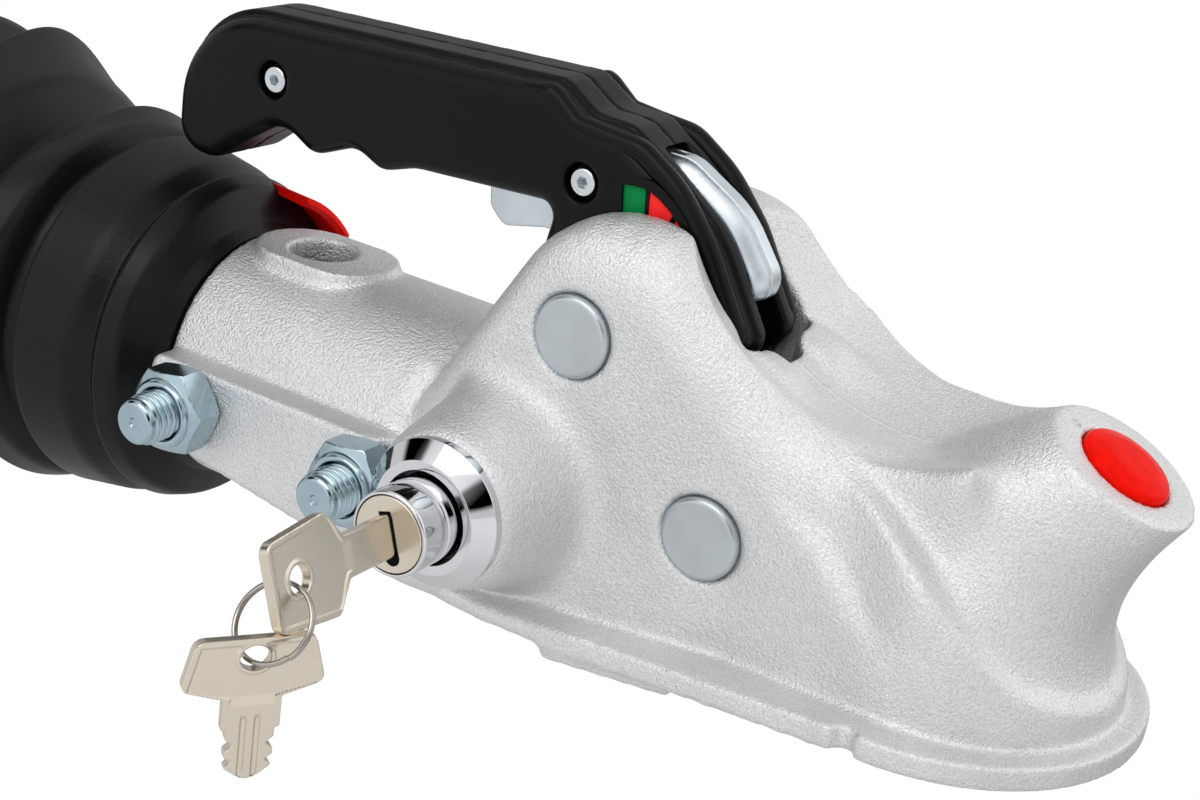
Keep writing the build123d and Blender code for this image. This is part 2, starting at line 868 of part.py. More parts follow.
save("coupling_body", coupling_body())
save("nose_plug", nose_plug())
save("drawbar_tube", drawbar_tube())
save("cross_bolts", group([cross_bolt(x) for x in bolt_places]))
save("cross_nuts", group([cross_nut(x) for x in bolt_places]))
save("handle_pivot_pin", pivot_pin(handle_pivot))
save("jaw_pivot_pin", pivot_pin(jaw_pivot))
save("handle_shell_right", right_shell)
save("handle_shell_left", left_shell)
save("lever_plate", lever_plate())
save("release_catch", release_catch())
save("handle_screws", group([handle_screw(p) for p in screw_places]))
save("handle_screw_nuts", group([handle_nut(p) for p in screw_places]))
save("indicator_green", indicator_tile(window_rear_x, window_split_x - seat_gap / 2))
save("indicator_red", indicator_tile(window_split_x + seat_gap / 2, window_front_x))
save("ball_jaw", ball_jaw())
save("lock_bezel", lock_bezel())
save("lock_barrel", lock_barrel())
save("lock_plug", lock_plug())
save("lock_bolt", lock_bolt())
save("key_in_lock", key_plane(lock_point) * key(lock_key))
save("key_ring", key_ring())
save("spare_key", spare_key())
save("rubber_bellows", rubber_bellows())
save("bellows_red_tab", red_tab())
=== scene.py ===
from math import atan2, cos, exp, hypot, pi, radians, sin, tan

import bmesh
import bpy
from mathutils import Matrix, Vector
from mathutils.kdtree import KDTree


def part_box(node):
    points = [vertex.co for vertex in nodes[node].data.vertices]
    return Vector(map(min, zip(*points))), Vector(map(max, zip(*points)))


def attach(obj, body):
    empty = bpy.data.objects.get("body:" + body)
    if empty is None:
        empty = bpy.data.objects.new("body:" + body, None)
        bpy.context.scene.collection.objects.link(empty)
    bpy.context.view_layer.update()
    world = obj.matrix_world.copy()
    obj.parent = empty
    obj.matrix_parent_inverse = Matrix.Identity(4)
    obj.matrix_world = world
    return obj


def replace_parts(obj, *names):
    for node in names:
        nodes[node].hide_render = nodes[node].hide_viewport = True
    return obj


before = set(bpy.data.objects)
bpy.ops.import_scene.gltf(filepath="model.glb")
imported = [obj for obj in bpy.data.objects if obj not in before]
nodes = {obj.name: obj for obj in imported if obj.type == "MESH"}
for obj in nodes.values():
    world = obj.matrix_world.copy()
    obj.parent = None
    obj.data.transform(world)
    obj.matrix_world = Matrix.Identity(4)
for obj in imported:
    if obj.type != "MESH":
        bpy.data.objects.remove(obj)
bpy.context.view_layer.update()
print("frame loaded:", len(nodes), "nodes")

mm = 0.001


# materials

def newMaterial(name, color, metallic, roughness, specular=0.5):
    mat = bpy.data.materials.new(name)
    mat.use_nodes = True
    shader = mat.node_tree.nodes["Principled BSDF"]
    shader.inputs["Base Color"].default_value = (*color, 1)
    shader.inputs["Metallic"].default_value = metallic
    shader.inputs["Roughness"].default_value = roughness
    shader.inputs["Specular IOR Level"].default_value = specular
    return mat


def addNode(mat, kind, **values):
    node = mat.node_tree.nodes.new(kind)
    for name, value in values.items():
        if hasattr(node, name):
            setattr(node, name, value)
        else:
            node.inputs[name.replace("_", " ")].default_value = value
    return node


def join(mat, outSocket, inSocket):
    mat.node_tree.links.new(outSocket, inSocket)


def place(mat):
    return addNode(mat, "ShaderNodeTexCoord").outputs["Object"]


def noise(mat, scale, detail=3.0, rough=0.55):
    node = addNode(mat, "ShaderNodeTexNoise", Scale=scale, Detail=detail, Roughness=rough)
    join(mat, place(mat), node.inputs["Vector"])
    return node.outputs["Fac"]


def spread(mat, value, low, high, fromLow=0.3, fromHigh=0.7):
    span = {"From_Min": fromLow, "From_Max": fromHigh, "To_Min": low, "To_Max": high}
    node = addNode(mat, "ShaderNodeMapRange", **span)
    join(mat, value, node.inputs["Value"])
    return node.outputs["Result"]


def blendColors(mat, value, first, second):
    node = addNode(mat, "ShaderNodeMix", data_type="RGBA")
    node.inputs[6].default_value = (*first, 1)
    node.inputs[7].default_value = (*second, 1)
    join(mat, value, node.inputs[0])
    return node.outputs[2]


def bump(mat, layers):
    # layers of (height socket, distance in metres), joined one on another
    last = None
    for height, distance in layers:
        node = addNode(mat, "ShaderNodeBump", Distance=distance, Strength=1.0)
        join(mat, height, node.inputs["Height"])
        if last:
            join(mat, last, node.inputs["Normal"])
        last = node.outputs["Normal"]
    join(mat, last, mat.node_tree.nodes["Principled BSDF"].inputs["Normal"])


def feed(mat, socketName, value):
    join(mat, value, mat.node_tree.nodes["Principled BSDF"].inputs[socketName])


def castFinish():
    look = {"light": (0.88, 0.883, 0.89), "dark": (0.5, 0.503, 0.51), "grain": 1500, "sand": 2900}
    mat = newMaterial("castSilver", look["light"], 0.9, 0.44)
    grain = noise(mat, look["grain"], 2.0, 0.5)
    sand = noise(mat, look["sand"], 2.0, 0.5)
    clouds = noise(mat, 45, 3.0)
    speckle = addNode(mat, "ShaderNodeMath", operation="MULTIPLY")
    join(mat, spread(mat, sand, 0.45, 1.0, 0.35, 0.6), speckle.inputs[0])
    join(mat, spread(mat, clouds, 0.75, 1.0), speckle.inputs[1])
    feed(mat, "Base Color", blendColors(mat, speckle.outputs[0], look["dark"], look["light"]))
    feed(mat, "Roughness", spread(mat, sand, 0.38, 0.54))
    # moulding seam along the middle plane
    split = addNode(mat, "ShaderNodeSeparateXYZ")
    join(mat, place(mat), split.inputs[0])
    away = addNode(mat, "ShaderNodeMath", operation="ABSOLUTE")
    join(mat, split.outputs["Y"], away.inputs[0])
    seam = spread(mat, away.outputs[0], 1.0, 0.0, 0.0001, 0.0005)
    layers = [(grain, 0.0003), (sand, 0.00017), (seam, 0.0003)]
    # small sand pits, in metres
    for pit in ((0.017, -0.001, 0.0526), (-0.0725, -0.021, 0.0709)):
        gap = addNode(mat, "ShaderNodeVectorMath", operation="DISTANCE")
        join(mat, place(mat), gap.inputs[0])
        gap.inputs[1].default_value = pit
        layers.append((spread(mat, gap.outputs["Value"], 0.0, 1.0, 0.0003, 0.0013), 0.0012))
    bump(mat, layers)
    return mat


def platedFinish(name, color, roughness, grainScale=900, depth=0.000006, wear=0.12):
    mat = newMaterial(name, color, 1.0, roughness)
    grain = noise(mat, grainScale, 3.0)
    feed(mat, "Roughness", spread(mat, grain, roughness * (1 - 1.6 * wear), roughness * (1 + 2 * wear)))
    clouds = noise(mat, 120, 2.0)
    darker = tuple(c * (1 - wear) for c in color)
    feed(mat, "Base Color", blendColors(mat, spread(mat, clouds, 0.0, 1.0), darker, color))
    bump(mat, [(grain, depth)])
    return mat


def mouldedFinish(name, color, roughness, grainScale, depth, specular):
    mat = newMaterial(name, color, 0.0, roughness, specular)
    grain = noise(mat, grainScale, 2.0, 0.5)
    soft = noise(mat, 60, 2.0)
    feed(mat, "Roughness", spread(mat, soft, roughness * 0.9, roughness * 1.12))
    lighter = tuple(c * 1.2 for c in color)
    feed(mat, "Base Color", blendColors(mat, spread(mat, grain, 0.0, 1.0), color, lighter))
    bump(mat, [(grain, depth)])
    return mat


castSilver = castFinish()
blueZinc = platedFinish("blueZinc", (0.42, 0.54, 0.6), 0.16)
pinZinc = platedFinish("pinZinc", (0.56, 0.605, 0.63), 0.34, 1400, 0.00003)
brightZinc = platedFinish("brightZinc", (0.7, 0.74, 0.77), 0.22)
strapZinc = platedFinish("strapZinc", (0.66, 0.72, 0.76), 0.34)
polishedChrome = platedFinish("polishedChrome", (0.7, 0.71, 0.73), 0.06, 500, 0.000001, 0.03)
ringSteel = platedFinish("ringSteel", (0.44, 0.41, 0.38), 0.12, 500, 0.000001, 0.04)
keyNickel = platedFinish("keyNickel", (0.74, 0.67, 0.57), 0.26, 700, 0.000001, 0.03)
drawbarZinc = platedFinish("drawbarZinc", (0.6, 0.62, 0.64), 0.35)
handlePlastic = mouldedFinish("handlePlastic", (0.003, 0.003, 0.0034), 0.31, 1800, 0.00002, 0.15)
bellowsRubber = mouldedFinish("bellowsRubber", (0.0045, 0.0045, 0.0053), 0.37, 900, 0.00006, 0.21)
# near-black, rough finish that paints the shade inside the keyway
keywayShadeBlack = mouldedFinish("keywayShadeBlack", (0.003, 0.003, 0.003), 0.8, 900, 0.00002, 0.1)
capRed = mouldedFinish("capRed", (0.8, 0.006, 0.002), 0.24, 400, 0.000004, 0.03)
tileGreen = mouldedFinish("tileGreen", (0.0, 0.21, 0.05), 0.3, 400, 0.000004, 0.1)
tileRed = mouldedFinish("tileRed", (0.95, 0.026, 0.024), 0.3, 400, 0.000004, 0.08)
print("materials made")

finishes = {
    castSilver: ["coupling_body"],
    blueZinc: ["cross_bolts", "cross_nuts"],
    pinZinc: ["handle_pivot_pin", "jaw_pivot_pin"],
    brightZinc: ["lever_plate", "ball_jaw", "handle_screws", "handle_screw_nuts"],
    strapZinc: ["release_catch"],
    polishedChrome: ["lock_bezel", "lock_barrel", "lock_bolt"],
    ringSteel: ["key_ring"],
    keyNickel: ["lock_plug", "key_in_lock", "spare_key"],
    drawbarZinc: ["drawbar_tube"],
    handlePlastic: ["handle_shell_right", "handle_shell_left"],
    bellowsRubber: ["rubber_bellows"],
    capRed: ["nose_plug", "bellows_red_tab"],
    tileGreen: ["indicator_green"],
    tileRed: ["indicator_red"],
}
for mat, names in finishes.items():
    for name in names:
        nodes[name].data.materials.clear()
        nodes[name].data.materials.append(mat)


# mesh tools

def shade(obj, sharpAngle):
    for face in obj.data.polygons:
        face.use_smooth = True
    if sharpAngle:
        obj.data.set_sharp_from_angle(angle=radians(sharpAngle))


def newPiece(name, bm, body, mat, sharpAngle=None):
    shape = bpy.data.meshes.new(name)
    bm.to_mesh(shape)
    bm.free()
    obj = bpy.data.objects.new(name, shape)
    bpy.context.scene.collection.objects.link(obj)
    shape.materials.append(mat)
    shade(obj, sharpAngle)
    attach(obj, body)
    return obj


def applyModifiers(obj):
    bpy.context.view_layer.update()
    shape = bpy.data.meshes.new_from_object(obj.evaluated_get(bpy.context.evaluated_depsgraph_get()))
    obj.modifiers.clear()
    obj.data = shape


def tidyFaces(bm):
    bmesh.ops.remove_doubles(bm, verts=bm.verts, dist=0.0005 * mm)
    bmesh.ops.recalc_face_normals(bm, faces=bm.faces)
    return bm


def roundedLine(corners, steps=6):
    # points along (a, b, radius) corners, each inner corner as an arc
    points = [Vector(corners[0][:2])]
    for before, (a, b, radius), after in zip(corners, corners[1:], corners[2:]):
        here = Vector((a, b))
        if radius == 0:
            points.append(here)
            continue
        back = (Vector(before[:2]) - here).normalized()
        ahead = (Vector(after[:2]) - here).normalized()
        half = back.angle(ahead) / 2
        centre = here + (back + ahead).normalized() * (radius / sin(half))
        start = here + back * (radius / tan(half)) - centre
        end = here + ahead * (radius / tan(half)) - centre
        for k in range(steps + 1):
            points.append(centre + start.lerp(end, k / steps).normalized() * radius)
    points.append(Vector(corners[-1][:2]))
    return points


def dense(points, gap):
    # the same line with more points, no further apart than gap
    line = [points[0]]
    for first, second in zip(points, points[1:]):
        count = max(1, round((second - first).length / gap))
        line += [first.lerp(second, k / count) for k in range(1, count + 1)]
    return line


def turned(bm, points, foot, axis, steps=96):
    # skin of (radius, distance) points spun about an axis
    foot, axis = Vector(foot), Vector(axis)
    side = axis.orthogonal().normalized()
    verts = [bm.verts.new(foot + side * p[0] * mm + axis * p[1] * mm) for p in points]
    edges = [bm.edges.new(pair) for pair in zip(verts, verts[1:])]
    geom = verts + edges
    bmesh.ops.spin(bm, geom=geom, cent=foot, axis=axis, angle=2 * pi, steps=steps, use_merge=True)
    return tidyFaces(bm)


def lattice(bm, rows, columns, spot):
    # strips of quads that close round the columns
    grid = [[bm.verts.new(spot(i, j)) for j in range(columns)] for i in range(rows)]
    for i in range(rows - 1):
        for j in range(columns):
            k = (j + 1) % columns
            bm.faces.new((grid[i][j], grid[i][k], grid[i + 1][k], grid[i + 1][j]))
    return tidyFaces(bm)


def solidLoop(bm, layers):
    # closed skin over rings with the same number of points
    rings = [[bm.verts.new(Vector(p) * mm) for p in layer] for layer in layers]
    for first, second in zip(rings, rings[1:]):
        for a, b, c, d in zip(first, first[1:] + first[:1], second[1:] + second[:1], second):
            bm.faces.new((a, b, c, d))
    bm.faces.new(rings[0])
    bm.faces.new(rings[-1])
    return tidyFaces(bm)


def softCopy(piece, reshape=None):
    # rounded copy of a CAD node: fine voxels, then smoothing, then fewer faces
    bm = bmesh.new()
    bm.from_mesh(nodes[piece["node"]].data)
    bmesh.ops.remove_doubles(bm, verts=bm.verts, dist=0.005 * mm)
    obj = newPiece(piece["name"], bm, piece["body"], piece["mat"])
    remesh = obj.modifiers.new("voxels", "REMESH")
    remesh.mode = "VOXEL"
    remesh.voxel_size = piece["voxel"] * mm
    soften = obj.modifiers.new("soften", "SMOOTH")
    soften.factor = 0.5
    soften.iterations = piece["passes"]
    applyModifiers(obj)
    if reshape:
        reshape(obj)
    count = sum(len(f.vertices) - 2 for f in obj.data.polygons)
    thin = obj.modifiers.new("thin", "DECIMATE")
    thin.ratio = min(1.0, piece["faces"] / count)
    applyModifiers(obj)
    obj.data.materials.clear()
    obj.data.materials.append(piece["mat"])
    shade(obj, None)
    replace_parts(obj, piece["node"])
    print(piece["name"], count, "triangles before thinning")
    return obj


def rise(value, low, high):
    t = min(1.0, max(0.0, (value - low) / (high - low)))
    return t * t * (3 - 2 * t)


# casting

castPiece = {
    "name": "castBody",
    "node": "coupling_body",
    "body": "base",
    "slot": "cast_metal",
    "mat": castSilver,
    "voxel": 0.7,
    "passes": 12,
    "faces": 190000,
    "lockAxis": (-97.6, 6.4),
    "nosePlace": (28.2, 46.5),
    "noseTilt": 26.0,
    "blendPasses": 260,
    "neckSide": (8.0, 21.0, 43.0),
    "neckFill": 2.2,
    "neckReach": (2, 14),
    "cupWall": 29,
    "halfWidth": 29.5,
    "slotHalf": 14.5,
    "pivot": (-83.5, 45.4),
    "slotRadius": 37.5,
    "slotPull": 3.2,
    "slotStart": (30, 36.5),
    "slotEnd": 43,
    "slotAhead": (12, 24),
    "slotRaise": 2.8,
    "raiseStart": (-57, -50),
    "raiseEnd": (-44, -18),
    "raiseFloor": (38, 45),
    "raiseSide": (13.5, 17),
    "strapWay": (4.6, 6.2),
    "cheekRound": (8, 17),
    "farRound": 4,
    "cheekSpan": (-125, 8),
    "cheekGrow": (-100, -75),
    "cheekFade": (-22, 6),
    "lockStretch": 5.0,
    "lockReach": 26,
    "lockRise": (33, 44),
    # top edge of the cheeks from back to front, x and z with radii
    "crest": [
        (-134, -0.5, 0), (-82.7, 86.2, 28), (-34, 46.3, 55),
        (-10, 37, 30), (24, 5.5, 40), (40, -2.5, 0),
    ],
}


def castForms():
    # moves a spot of the casting: longer lock boss, tighter slot, rounder cheeks, fuller neck
    line = dense(roundedLine(castPiece["crest"], 10), 1.0)
    tree = KDTree(len(line))
    for index, spot in enumerate(line):
        tree.insert((spot[0], 0, spot[1]), index)
    tree.balance()
    lockX, lockZ = castPiece["lockAxis"]
    pivotX, pivotZ = castPiece["pivot"]
    neckX, neckY, neckZ = castPiece["neckSide"]
    half, slotHalf, slotRadius = castPiece["halfWidth"], castPiece["slotHalf"], castPiece["slotRadius"]
    cheekBack, cheekFront = castPiece["cheekSpan"]
    low, high = castPiece["cheekRound"]

    def moved(x, y, z):
        if hypot(x - lockX, z - lockZ) < castPiece["lockReach"]:
            y -= castPiece["lockStretch"] * rise(-y, *castPiece["lockRise"])
        reach = hypot(x - pivotX, z - pivotZ)
        pull = rise(reach, *castPiece["slotStart"])
        pull *= 1 - rise(reach, slotRadius + 0.4, castPiece["slotEnd"])
        pull *= rise(x - pivotX, *castPiece["slotAhead"])
        # the strap's way through the slot stays free
        strapWay = rise(abs(y), *castPiece["strapWay"])
        pull *= castPiece["slotPull"] * strapWay * (1 - rise(abs(y), slotHalf + 0.1, slotHalf + 3.5))
        x -= pull * (x - pivotX) / max(reach, 1)
        z -= pull * (z - pivotZ) / max(reach, 1)
        front = rise(x, *castPiece["raiseStart"]) * (1 - rise(x, *castPiece["raiseEnd"]))
        front *= rise(z, *castPiece["raiseFloor"])
        front *= 1 - rise(abs(y), *castPiece["raiseSide"])
        z += castPiece["slotRaise"] * strapWay * front
        if abs(y) > slotHalf + 0.1 and z > 0 and cheekBack < x < cheekFront:
            index = tree.find((x, 0, z))[1]
            ahead = line[min(index + 1, len(line) - 1)] - line[max(index - 1, 0)]
            outward = Vector((-ahead[1], ahead[0])).normalized()
            below = (line[index] - Vector((x, z))).dot(outward)
            radius = castPiece["farRound"]
            if y < 0:
                radius = low + (high - low) * rise(x, *castPiece["cheekGrow"])
            u, w = radius - half + abs(y), radius - below
            if u > 0 and w > 0 and hypot(u, w) > radius:
                part = (1 - radius / hypot(u, w)) * (1 - rise(x, *castPiece["cheekFade"]))
                y -= part * u * (1 if y > 0 else -1)
                x -= part * w * outward[0]
                z -= part * w * outward[1]
        away = hypot(x - neckX, abs(y) - neckY, z - neckZ)
        if hypot(x, y, z) > castPiece["cupWall"]:
            y += castPiece["neckFill"] * (1 - rise(away, *castPiece["neckReach"])) * (1 if y > 0 else -1)
        return x, y, z

    return moved


# strength of the long fillets, and the spans over which they fade in or out
blendPiece = {
    "cheek": 0.07,
    "boss": 0.3,
    "neckHold": 0.72,
    "neckReach": (10, 22),
    "neckStart": (-44, -30),
    "underFace": (4, 9),
    "aboveRim": (-6, -2),
    "cupWall": (26.5, 29),
    "bossInner": (12, 16),
    "bossOuter": (30, 36),
    "bossRoot": (25, 28),
    "bossFace": (45, 48),
    "socketEnd": (-150, -140),
}


def castBlend(point):
    # how far a spot of the casting takes part in the long fillets
    def grown(value, key):
        return rise(value, *blendPiece[key])

    x, y, z = (c / mm for c in point)
    tilt = radians(castPiece["noseTilt"])
    noseX, noseZ = castPiece["nosePlace"]
    belowFace = (noseX - x) * sin(tilt) + (noseZ - z) * cos(tilt)
    above = grown(z, "aboveRim") * grown(hypot(x, y, z), "cupWall")
    neckX, neckY, neckZ = castPiece["neckSide"]
    fromNeck = hypot(x - neckX, abs(y) - neckY, z - neckZ)
    neck = above * grown(x, "neckStart") * grown(belowFace, "underFace")
    neck *= 1 - blendPiece["neckHold"] * grown(fromNeck, "neckReach")
    lockX, lockZ = castPiece["lockAxis"]
    around = hypot(x - lockX, z - lockZ)
    boss = grown(around, "bossInner") * (1 - grown(around, "bossOuter"))
    boss = boss * grown(-y, "bossRoot") * (1 - grown(-y, "bossFace"))
    cheek = blendPiece["cheek"] * above * grown(belowFace, "underFace") * grown(x, "socketEnd")
    return max(neck, blendPiece["boss"] * boss, cheek)


def longFillets(obj):
    moved = castForms()
    for vert in obj.data.vertices:
        vert.co = Vector(moved(*(vert.co / mm))) * mm
    group = obj.vertex_groups.new(name="longFillets")
    for vert in obj.data.vertices:
        weight = castBlend(vert.co)
        if weight > 0:
            group.add([vert.index], weight, "REPLACE")
    soften = obj.modifiers.new("fillets", "SMOOTH")
    soften.factor = 0.5
    soften.iterations = castPiece["blendPasses"]
    soften.vertex_group = group.name
    applyModifiers(obj)
    obj.vertex_groups.clear()


softCopy(castPiece, longFillets)


# handle and catch

for side in ("right", "left"):
    softCopy({
        "name": "grip" + side.capitalize(),
        "node": "handle_shell_" + side,
        "body": "handle",
        "slot": "black_plastic",
        "mat": handlePlastic,
        "voxel": 0.55,
        "passes": 5,
        "faces": 120000,
    })


# crown of the strap: how much narrower, down to which depth, and from where on
crownPiece = {"narrow": 0.48, "depth": (0.4, 5), "start": (-10, -2), "slices": 60}


def narrowCrown(obj):
    # strap in the handle's front: narrow crown and leaning flanks, by the depth under its outer line
    pivotX, pivotZ = castPiece["pivot"]
    crown = {}
    spots = []
    for vert in obj.data.vertices:
        x, z = vert.co.x / mm - pivotX, vert.co.z / mm - pivotZ
        turn, reach = round(atan2(z, x) * crownPiece["slices"]), hypot(x, z)
        crown[turn] = max(crown.get(turn, 0), reach)
        spots.append((turn, reach, x))
    for vert, (turn, reach, x) in zip(obj.data.vertices, spots):
        high = 1 - rise(crown[turn] - reach, *crownPiece["depth"])
        vert.co.y *= 1 - crownPiece["narrow"] * high * rise(x, *crownPiece["start"])


softCopy({
    "name": "catchStrap",
    "node": "release_catch",
    "body": "catch",
    "slot": "zinc_steel",
    "mat": strapZinc,
    "voxel": 0.3,
    "passes": 22,
    "faces": 60000,
}, narrowCrown)

# rounded rails along the edges of the handle's top, from the scoop down the front
railPiece = {
    "corners": [
        (-124, 88.6, 0), (-107, 89.4, 4), (-100.5, 84.4, 5), (-93, 83.6, 8), (-83.5, 82.9, 9),
        (-73.4, 76.6, 30), (-64.4, 66.6, 30), (-54.4, 50, 6), (-57.5, 41, 0),
    ],
    "radius": 2.6,
    "away": 11.0,
    "fade": (22, 8),
    "columns": 20,
}


def handleRail(side):
    line = dense(roundedLine(railPiece["corners"], 10), 0.8)
    last = len(line) - 1
    fadeIn, fadeOut = railPiece["fade"]

    def spot(i, j):
        ahead = line[min(i + 1, last)] - line[max(i - 1, 0)]
        outward = Vector((-ahead[1], ahead[0])).normalized()
        radius = railPiece["radius"] * min(1, i / fadeIn, (last - i) / fadeOut)
        angle = 2 * pi * j / railPiece["columns"]
        off = line[i] + outward * radius * cos(angle)
        return Vector((off[0], side * (railPiece["away"] + radius * sin(angle)), off[1])) * mm

    return lattice(bmesh.new(), len(line), railPiece["columns"], spot)


for side, name in ((-1, "railRight"), (1, "railLeft")):
    newPiece(name, handleRail(side), "handle", handlePlastic)

# frame of the window, the bar between its tiles and the short pointer, as x and z outlines
windowPiece = {
    "front": -13.9,
    "back": -12.6,
    "frame": [
        (-83.6, 60.0), (-85.5, 75.3), (-85.3, 75.6), (-82.9, 75.9), (-79.9, 76.0), (-78.4, 75.7),
        (-76.0, 74.6), (-73.3, 72.9), (-70.1, 70.3), (-67.6, 67.1), (-66.6, 68.6), (-68.8, 71.6),
        (-71.6, 74.4), (-74.8, 76.6), (-78.0, 78.0), (-82.9, 78.2), (-88.2, 77.6), (-88.2, 60.0),
    ],
    "bar": [(-80.0, 76.5), (-79.1, 76.3), (-77.6, 60.0), (-78.5, 60.0)],
    "pointer": [(-72.4, 73.0), (-73.5, 70.0), (-72.6, 69.4), (-71.5, 72.3)],
}
for part in ("frame", "bar", "pointer"):
    depths = (windowPiece["front"] + (0 if part == "frame" else 0.5), windowPiece["back"])
    bm = solidLoop(bmesh.new(), [[(x, y, z) for x, z in windowPiece[part]] for y in depths])
    newPiece("window" + part.capitalize(), bm, "handle", handlePlastic, 30)


# pins, cap and lock, all turned

pinPiece = {"head": 3.6, "shank": 7.0, "edge": 1.3, "foot": 0.2}


def pinShape(node, name):
    low, high = (Vector(c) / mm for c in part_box(node))
    radius = (high.x - low.x) / 2
    face, seat = high.y, high.y - pinPiece["head"]
    half = [
        (0, face, 0),
        (radius, face, pinPiece["edge"]),
        (radius, seat, pinPiece["foot"]),
        (pinPiece["shank"], seat, 0),
    ]
    mirrored = [(r, -d, k) for r, d, k in reversed(half)]
    bm = turned(bmesh.new(), roundedLine(half + mirrored), ((low + high) / 2) * mm, (0, 1, 0))
    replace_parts(newPiece(name, bm, "base", pinZinc, 40), node)


pinShape("handle_pivot_pin", "handlePinHeads")
pinShape("jaw_pivot_pin", "jawPinHeads")

capPiece = {"radius": 9.9, "depth": 9.0, "crown": 2.4, "edge": 1.6}
tilt = radians(castPiece["noseTilt"])
capFoot = Vector((castPiece["nosePlace"][0], 0, castPiece["nosePlace"][1])) * mm
capLine = roundedLine([
    (0, -capPiece["depth"], 0),
    (capPiece["radius"], -capPiece["depth"], 0.5),
    (capPiece["radius"], 0.9, capPiece["edge"]),
    (0.6 * capPiece["radius"], capPiece["crown"] - 0.2, 8),
    (0, capPiece["crown"], 0),
], 8)
capShape = turned(bmesh.new(), capLine, capFoot, (sin(tilt), 0, cos(tilt)))
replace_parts(newPiece("noseCap", capShape, "base", capRed), "nose_plug")

lockPiece = {
    "axis": castPiece["lockAxis"],
    "bezel": [
        (10.3, 46.0, 0), (16.6, 46.0, 0.2), (16.6, 52.0, 0.4), (12.6, 55.4, 0.25), (10.5, 55.4, 0.15),
        (10.3, 55.0, 0.1), (10.3, 46.0, 0),
    ],
    "barrel": [
        (0, 21.0, 0), (9.45, 21.0, 0.4), (9.45, 58.4, 0.2), (9.1, 58.6, 0.1), (9.1, 59.0, 0.1),
        (9.45, 59.2, 0.2), (9.45, 66.9, 0.7), (8.65, 66.9, 0.15), (8.55, 66.2, 0.05), (8.4, 65.4, 0),
        (7.85, 65.4, 0), (7.85, 30.9, 0), (0, 30.9, 0),
    ],
    # ring of the plug that fills the barrel's mouth
    "flange": [(7.4, 65.6, 0), (8.4, 65.6, 0.05), (8.4, 66.9, 0.3), (7.4, 66.9, 0), (7.4, 65.6, 0)],
    # outline of the keyway, and the depths of the black sheet that paints its shade
    "keyway": [(-1.55, 5.0), (1.55, 5.0), (1.55, -4.5), (-1.55, -4.5)],
    "keywayEnd": (1.9, -4.9),
    "keywayDepths": (66.5, 66.94),
}
lockFoot = Vector((lockPiece["axis"][0], 0, lockPiece["axis"][1])) * mm
keyTurn = radians(18.7)
for part, body in (("bezel", "base"), ("barrel", "barrel")):
    bm = turned(bmesh.new(), roundedLine(lockPiece[part]), lockFoot, (0, -1, 0), 128)
    turnedPart = newPiece("lock" + part.capitalize(), bm, body, polishedChrome, 32)
    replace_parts(turnedPart, "lock_" + part)
softCopy({
    "name": "plugFace",
    "node": "lock_plug",
    "body": "plug",
    "slot": "key_nickel",
    "mat": keyNickel,
    "voxel": 0.25,
    "passes": 3,
    "faces": 40000,
})
flange = turned(bmesh.new(), roundedLine(lockPiece["flange"]), lockFoot, (0, -1, 0), 96)
newPiece("plugFlange", flange, "plug", keyNickel, 40)


def keyway():
    # painted shade: a black sheet on the plug face where the keyway's slot lies in shade, with its round
    # lower end
    up = Vector((-sin(keyTurn), 0, cos(keyTurn)))
    over = Vector((cos(keyTurn), 0, sin(keyTurn)))
    centre = Vector((lockPiece["axis"][0], 0, lockPiece["axis"][1]))
    radius, drop = lockPiece["keywayEnd"]
    endLine = [(radius * cos(2 * pi * k / 24), drop + radius * sin(2 * pi * k / 24)) for k in range(24)]
    bm = bmesh.new()
    for line in (lockPiece["keyway"], endLine):
        spots = [centre + over * a + up * b for a, b in line]
        solidLoop(bm, [[spot + Vector((0, -y, 0)) for spot in spots] for y in lockPiece["keywayDepths"]])
    return bm


# black sheet painting the keyway's shade on the plug face
newPiece("keywayShadeSheet", keyway(), "plug", keywayShadeBlack, 30)
print("turned pieces made")


# bolts and nuts

boltPiece = {
    "radius": 6.0, "pitch": 1.75, "depth": 0.95, "columns": 72,
    "flats": 19.0, "lugFace": 37.5, "nutTurn": 7.0,
}
boltLow, boltHigh = (Vector(c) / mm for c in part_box("cross_bolts"))
hexCorner = boltPiece["flats"] / 2 / cos(radians(30))
boltPlaces = (boltLow.x + hexCorner, boltHigh.x - hexCorner)


def acrossPoint(boltX, radius, angle, y):
    return Vector((boltX + radius * cos(angle), y, radius * sin(angle))) * mm


def hexRadius(angle):
    sector = radians(60)
    return boltPiece["flats"] / 2 / cos((angle - radians(boltPiece["nutTurn"])) % sector - sector / 2)


def hexSkin(bm, boltX, line, start, out):
    # turned line (radius, distance) cut to the hexagon's flats
    columns = 120
    rows = dense(line, 0.2)

    def spot(i, j):
        angle = 2 * pi * j / columns + radians(boltPiece["nutTurn"])
        radius, distance = rows[i]
        return acrossPoint(boltX, min(radius, hexRadius(angle)), angle, start + out * distance)

    return lattice(bm, len(rows), columns, spot)


